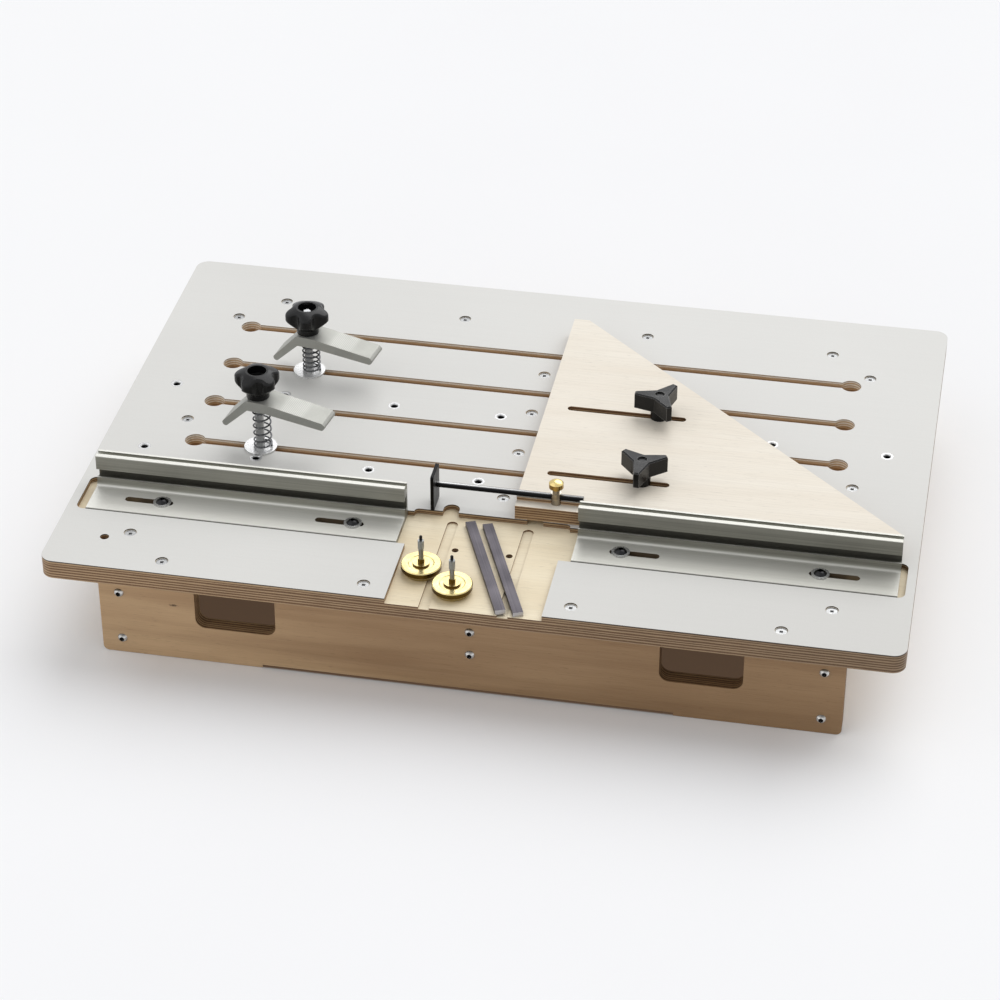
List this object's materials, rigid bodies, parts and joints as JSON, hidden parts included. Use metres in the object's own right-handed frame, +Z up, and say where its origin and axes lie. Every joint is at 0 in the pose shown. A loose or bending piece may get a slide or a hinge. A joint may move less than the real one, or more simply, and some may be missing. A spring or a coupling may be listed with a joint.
{
  "type": "joinery table",
  "caption": "Bench-top joinery table: faced ply top on an open ply box, with sliding aluminium fences, a slotted triangle fence, a rod stop and sprung hold-down clamps.",
  "frame": {"origin": "on the ground below the middle of the table top", "axes": "+X to the right along the fences, +Y from the front edge to the back edge, +Z up"},
  "size_m": [0.75, 0.527, 0.18],
  "materials": {
    "birch_ply": "clear satin birch ply",
    "facing": "light grey satin laminate",
    "bright_steel": "bright zinc plate",
    "dark_steel": "black oxide",
    "aluminium": "mill finish",
    "black_plastic": "moulded black",
    "brass": "turned and polished"
  },
  "bodies": {
    "table": {"top_panel": "birch_ply", "top_facing": "facing", "front_panel": "birch_ply", "back_panel": "birch_ply", "left_panel": "birch_ply", "right_panel": "birch_ply", "divider": "birch_ply", "top_screws": "bright_steel", "base_screws": "bright_steel", "threaded_inserts": "bright_steel", "fence_screws": "dark_steel", "fence_washers": "bright_steel"},
    "left_fence": {"left_fence": "aluminium"},
    "right_fence": {"right_fence": "aluminium"},
    "triangle": {"triangle_fence": "birch_ply", "stop_post": "bright_steel"},
    "stop_rod": {"stop_rod": "dark_steel", "stop_plate": "dark_steel"},
    "stop_screw": {"stop_screw": "bright_steel"},
    "stop_head": {"stop_head": "brass"},
    "rear_tri_stud": {"rear_tri_stud": "bright_steel"},
    "rear_tri_knob": {"rear_tri_knob": "black_plastic"},
    "front_tri_stud": {"front_tri_stud": "bright_steel"},
    "front_tri_knob": {"front_tri_knob": "black_plastic"},
    "rear_clamp_base": {"rear_clamp_washer": "bright_steel"},
    "rear_clamp_bolt": {"rear_clamp_bolt": "bright_steel", "rear_clamp_spring": "bright_steel"},
    "rear_clamp_arm": {"rear_clamp_arm": "aluminium"},
    "rear_clamp_knob": {"rear_clamp_knob": "black_plastic"},
    "front_clamp_base": {"front_clamp_washer": "bright_steel"},
    "front_clamp_bolt": {"front_clamp_bolt": "bright_steel", "front_clamp_spring": "bright_steel"},
    "front_clamp_arm": {"front_clamp_arm": "aluminium"},
    "front_clamp_knob": {"front_clamp_knob": "black_plastic"},
    "left_thumb": {"left_thumb_disc": "brass", "left_thumb_stud": "bright_steel"},
    "left_bar": {"left_guide_bar": "dark_steel"},
    "right_thumb": {"right_thumb_disc": "brass", "right_thumb_stud": "bright_steel"},
    "right_bar": {"right_guide_bar": "dark_steel"}
  },
  "joints": [
    {"name": "left_fence_slide", "type": "slide", "parent": "table", "child": "left_fence", "axis": [1, 0, 0], "range_m": [-0.0045, 0.03]},
    {"name": "right_fence_slide", "type": "slide", "parent": "table", "child": "right_fence", "axis": [1, 0, 0], "range_m": [-0.03, 0.0018]},
    {"name": "triangle_slide", "type": "slide", "parent": "table", "child": "triangle", "axis": [1, 0, 0], "range_m": [-0.021, 0.081]},
    {"name": "stop_rod_slide", "type": "slide", "parent": "triangle", "child": "stop_rod", "axis": [1, 0, 0], "range_m": [-0.015, 0.068]},
    {"name": "stop_screw_lift", "type": "slide", "parent": "triangle", "child": "stop_screw", "axis": [0, 0, 1], "range_m": [0, 0.0014]},
    {"name": "stop_head_turn", "type": "hinge", "parent": "stop_screw", "child": "stop_head", "pos_m": [0.0545, -0.1145, 0.13], "axis": [0, 0, 1], "range_deg": [0, 721]},
    {"name": "rear_tri_lift", "type": "slide", "parent": "table", "child": "rear_tri_stud", "axis": [0, 0, 1], "range_m": [0, 0.002]},
    {"name": "rear_tri_turn", "type": "hinge", "parent": "rear_tri_stud", "child": "rear_tri_knob", "pos_m": [0.1245, 0.035, 0.125], "axis": [0, 0, 1], "range_deg": [0, 721]},
    {"name": "front_tri_lift", "type": "slide", "parent": "table", "child": "front_tri_stud", "axis": [0, 0, 1], "range_m": [0, 0.002]},
    {"name": "front_tri_turn", "type": "hinge", "parent": "front_tri_stud", "child": "front_tri_knob", "pos_m": [0.1245, -0.0738, 0.125], "axis": [0, 0, 1], "range_deg": [0, 721]},
    {"name": "rear_clamp_slide", "type": "slide", "parent": "table", "child": "rear_clamp_base", "axis": [1, 0, 0], "range_m": [-0.055, 0.14]},
    {"name": "rear_clamp_swivel", "type": "hinge", "parent": "rear_clamp_base", "child": "rear_clamp_bolt", "pos_m": [-0.2167, 0.0802, 0.14], "axis": [0, 0, 1], "range_deg": [-45, 45]},
    {"name": "rear_clamp_press", "type": "slide", "parent": "rear_clamp_bolt", "child": "rear_clamp_arm", "axis": [0, 0, -1], "range_m": [-0.01, 0.01], "deforming": ["rear_clamp_spring"]},
    {"name": "rear_clamp_turn", "type": "hinge", "parent": "rear_clamp_arm", "child": "rear_clamp_knob", "pos_m": [-0.2167, 0.0802, 0.14], "axis": [0, 0, -1], "range_deg": [-2881, 2881]},
    {"name": "front_clamp_slide", "type": "slide", "parent": "table", "child": "front_clamp_base", "axis": [1, 0, 0], "range_m": [-0.042, 0.06]},
    {"name": "front_clamp_swivel", "type": "hinge", "parent": "front_clamp_base", "child": "front_clamp_bolt", "pos_m": [-0.2295, -0.0556, 0.14], "axis": [0, 0, 1], "range_deg": [-45, 45]},
    {"name": "front_clamp_press", "type": "slide", "parent": "front_clamp_bolt", "child": "front_clamp_arm", "axis": [0, 0, -1], "range_m": [-0.0025, 0.0175], "deforming": ["front_clamp_spring"]},
    {"name": "front_clamp_turn", "type": "hinge", "parent": "front_clamp_arm", "child": "front_clamp_knob", "pos_m": [-0.2295, -0.0556, 0.14], "axis": [0, 0, -1], "range_deg": [-721, 5041]},
    {"name": "left_thumb_lift", "type": "slide", "parent": "table", "child": "left_thumb", "axis": [0, 0, 1], "range_m": [0, 0.06]},
    {"name": "left_bar_lift", "type": "slide", "parent": "table", "child": "left_bar", "axis": [0, 0, 1], "range_m": [0, 0.06]},
    {"name": "right_thumb_lift", "type": "slide", "parent": "table", "child": "right_thumb", "axis": [0, 0, 1], "range_m": [0, 0.06]},
    {"name": "right_bar_lift", "type": "slide", "parent": "table", "child": "right_bar", "axis": [0, 0, 1], "range_m": [0, 0.06]}
  ],
  "couplings": [
    {"joint": "stop_head_turn", "follows": "stop_screw_lift", "rad_per_m": 8976},
    {"joint": "rear_tri_turn", "follows": "rear_tri_lift", "rad_per_m": 6283.2},
    {"joint": "front_tri_turn", "follows": "front_tri_lift", "rad_per_m": 6283.2},
    {"joint": "rear_clamp_turn", "follows": "rear_clamp_press", "rad_per_m": 5026.5},
    {"joint": "front_clamp_turn", "follows": "front_clamp_press", "rad_per_m": 5026.5}
  ]
}
